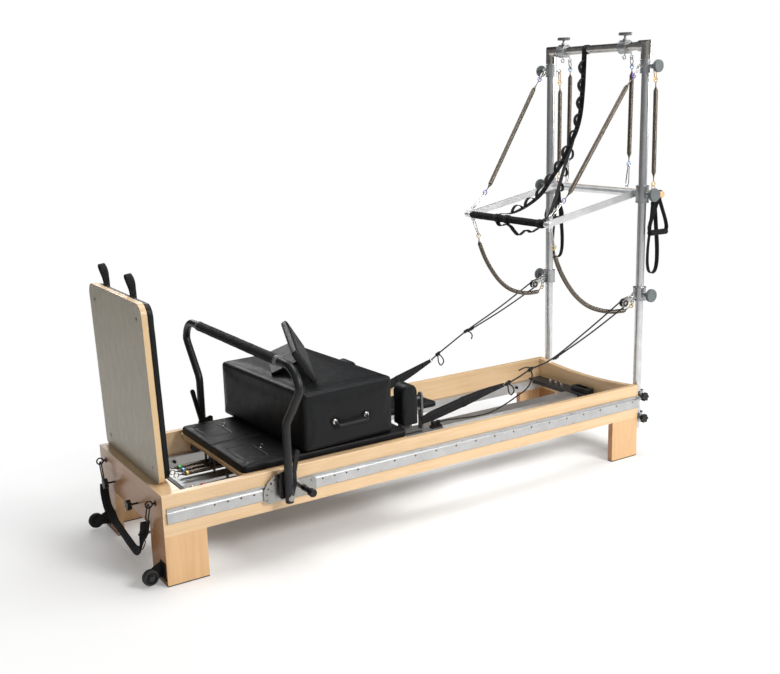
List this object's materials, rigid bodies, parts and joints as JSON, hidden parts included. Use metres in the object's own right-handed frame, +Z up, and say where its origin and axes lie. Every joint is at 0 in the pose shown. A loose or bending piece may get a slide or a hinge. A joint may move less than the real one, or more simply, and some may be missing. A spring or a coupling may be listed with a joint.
{
  "type": "pilates reformer",
  "caption": "Timber pilates reformer with a rolling sprung carriage, foot bar, jump board, sitting box and a steel-tube tower with push-through bar, springs, pulleys and roll-down bar.",
  "frame": {"origin": "centre of the whole object's outline at floor level", "axes": "+X along the bed towards the tower end, -Y the side nearest the viewer with the foot end on the left, +Z up"},
  "size_m": [2.6384, 1.1148, 2.006],
  "materials": {
    "maple": "satin lacquer",
    "maple_ply": "satin lacquer",
    "aluminium": "anodised",
    "steel_tube": "brushed",
    "stainless": "polished",
    "spring_steel": "oiled",
    "black_steel": "satin powder coat",
    "grey_steel": "satin powder coat",
    "upholstery": "soft grain",
    "board_back": "satin",
    "black_plastic": "matt",
    "black_rubber": "matt",
    "foam": "foam",
    "grey_plastic": "matt",
    "grip_tape": "matt",
    "webbing": "woven",
    "white_webbing": "woven",
    "rope": "braided",
    "ash_dowel": "satin lacquer"
  },
  "bodies": {
    "frame": {"side_rail_near": "maple", "side_rail_far": "maple", "foot_crossbeam": "maple", "head_board": "maple", "legs": "maple", "rubber_feet": "black_rubber", "outer_tracks": "aluminium", "inner_tracks": "aluminium", "track_screws": "stainless", "track_bumpers": "black_rubber", "head_cross_plate": "black_steel", "spring_bar": "black_steel", "clips_and_eyes": "stainless", "star_knobs": "black_plastic", "wheel_brackets": "black_steel", "uprights": "steel_tube", "tower_sockets": "black_steel", "tower_top_bar": "steel_tube", "collars": "aluminium", "top_clamps": "aluminium", "frame_webbing": "webbing", "springs_vertical": "spring_steel", "springs_push_bar": "spring_steel", "pulley_blocks": "stainless", "ropes": "rope", "carriage_springs": "spring_steel", "shoulder_straps": "webbing"},
    "transport_wheel_pair": {"transport_wheels": "black_rubber"},
    "jumpboard": {"jumpboard_panel": "board_back", "jumpboard_pad": "upholstery", "jumpboard_posts": "stainless", "jumpboard_loops": "webbing"},
    "carriage": {"carriage_deck": "maple_ply", "carriage_pad": "upholstery", "carriage_frame": "black_steel", "shoulder_pads": "upholstery", "shoulder_brackets": "grey_steel"},
    "roller_pair_front": {"rollers_front": "black_rubber"},
    "roller_pair_rear": {"rollers_rear": "black_rubber"},
    "headrest_body": {"headrest": "upholstery"},
    "sitting_box_body": {"sitting_box": "upholstery", "box_handles": "black_plastic"},
    "platform_body": {"platform_board": "upholstery"},
    "footbar_slider": {"footbar_sliders": "stainless"},
    "footbar": {"footbar_tube": "black_steel", "footbar_grip": "foam"},
    "lever_near_body": {"lever_near": "stainless"},
    "lever_far_body": {"lever_far": "stainless"},
    "plunger_near_body": {"plunger_near": "black_plastic"},
    "plunger_far_body": {"plunger_far": "black_plastic"},
    "push_bar": {"push_bar_frame": "steel_tube", "push_bar_foam": "foam"},
    "rolldown": {"rolldown_bar": "ash_dowel", "springs_rear": "spring_steel", "handle_straps": "webbing", "handle_grips": "foam"},
    "sheave_pair": {"pulley_sheaves": "black_plastic"},
    "knob_pair_upper": {"knobs_upper": "grey_plastic"},
    "knob_pair_mid": {"knobs_mid": "grey_plastic"},
    "knob_pair_lower": {"knobs_lower": "grey_plastic"}
  },
  "joints": [
    {"name": "carriage_slide", "type": "slide", "parent": "frame", "child": "carriage", "axis": [1, 0, 0], "range_m": [0, 0.8], "deforming": ["carriage_springs", "ropes", "shoulder_straps"]},
    {"name": "roller_front_spin", "type": "hinge", "parent": "carriage", "child": "roller_pair_front", "pos_m": [-0.8361, 0, 0.27205], "axis": [0, 1, 0], "range_deg": [0, 2292]},
    {"name": "roller_rear_spin", "type": "hinge", "parent": "carriage", "child": "roller_pair_rear", "pos_m": [-0.2161, 0, 0.27205], "axis": [0, 1, 0], "range_deg": [0, 2292]},
    {"name": "headrest_tilt", "type": "hinge", "parent": "carriage", "child": "headrest_body", "pos_m": [-0.1251, 0, 0.362], "axis": [0, -1, 0], "range_deg": [0, 45]},
    {"name": "box_lift", "type": "slide", "parent": "carriage", "child": "sitting_box_body", "axis": [0, 0, 1], "range_m": [0, 0.1]},
    {"name": "platform_lift", "type": "slide", "parent": "sitting_box_body", "child": "platform_body", "axis": [0, 0, 1], "range_m": [0, 0.08]},
    {"name": "jumpboard_lift", "type": "slide", "parent": "frame", "child": "jumpboard", "axis": [0, 0, 1], "range_m": [0, 0.1]},
    {"name": "footbar_slide", "type": "slide", "parent": "frame", "child": "footbar_slider", "axis": [1, 0, 0], "range_m": [-0.1074, 0]},
    {"name": "footbar_pivot", "type": "hinge", "parent": "footbar_slider", "child": "footbar", "pos_m": [-0.7546, 0, 0.259], "axis": [0, 1, 0], "range_deg": [-30, 6]},
    {"name": "lever_near_tilt", "type": "hinge", "parent": "footbar", "child": "lever_near_body", "pos_m": [-0.7231, -0.396, 0.318], "axis": [0, 1, 0], "range_deg": [0, 10]},
    {"name": "lever_far_tilt", "type": "hinge", "parent": "footbar", "child": "lever_far_body", "pos_m": [-0.7661, 0.396, 0.336], "axis": [0, 1, 0], "range_deg": [0, 10]},
    {"name": "plunger_near_pull", "type": "slide", "parent": "footbar_slider", "child": "plunger_near_body", "axis": [0, -1, 0], "range_m": [-0.008, 0]},
    {"name": "plunger_far_pull", "type": "slide", "parent": "footbar_slider", "child": "plunger_far_body", "axis": [0, 1, 0], "range_m": [-0.008, 0]},
    {"name": "transport_wheel_spin", "type": "hinge", "parent": "frame", "child": "transport_wheel_pair", "pos_m": [-1.2881, 0, 0.041], "axis": [0, 1, 0], "continuous": true},
    {"name": "push_bar_swing", "type": "hinge", "parent": "frame", "child": "push_bar", "pos_m": [1.1909, 0, 1.273], "axis": [0, 1, 0], "range_deg": [-30, 40], "deforming": ["springs_push_bar", "springs_vertical", "frame_webbing"]},
    {"name": "rolldown_swing", "type": "hinge", "parent": "frame", "child": "rolldown", "pos_m": [1.2479, 0, 1.845], "axis": [0, -1, 0], "range_deg": [0, 25]},
    {"name": "sheave_spin", "type": "hinge", "parent": "frame", "child": "sheave_pair", "pos_m": [1.0879, 0, 0.765], "axis": [0, 1, 0], "continuous": true},
    {"name": "knob_upper_turn", "type": "hinge", "parent": "frame", "child": "knob_pair_upper", "pos_m": [1.1909, 0, 1.849], "axis": [0, 1, 0], "continuous": true},
    {"name": "knob_mid_turn", "type": "hinge", "parent": "frame", "child": "knob_pair_mid", "pos_m": [1.1909, 0, 1.2705], "axis": [0, 1, 0], "continuous": true},
    {"name": "knob_lower_turn", "type": "hinge", "parent": "frame", "child": "knob_pair_lower", "pos_m": [1.1909, 0, 0.798], "axis": [0, 1, 0], "continuous": true}
  ],
  "couplings": [
    {"joint": "roller_front_spin", "follows": "carriage_slide", "rad_per_m": 50},
    {"joint": "roller_rear_spin", "follows": "carriage_slide", "rad_per_m": 50}
  ]
}
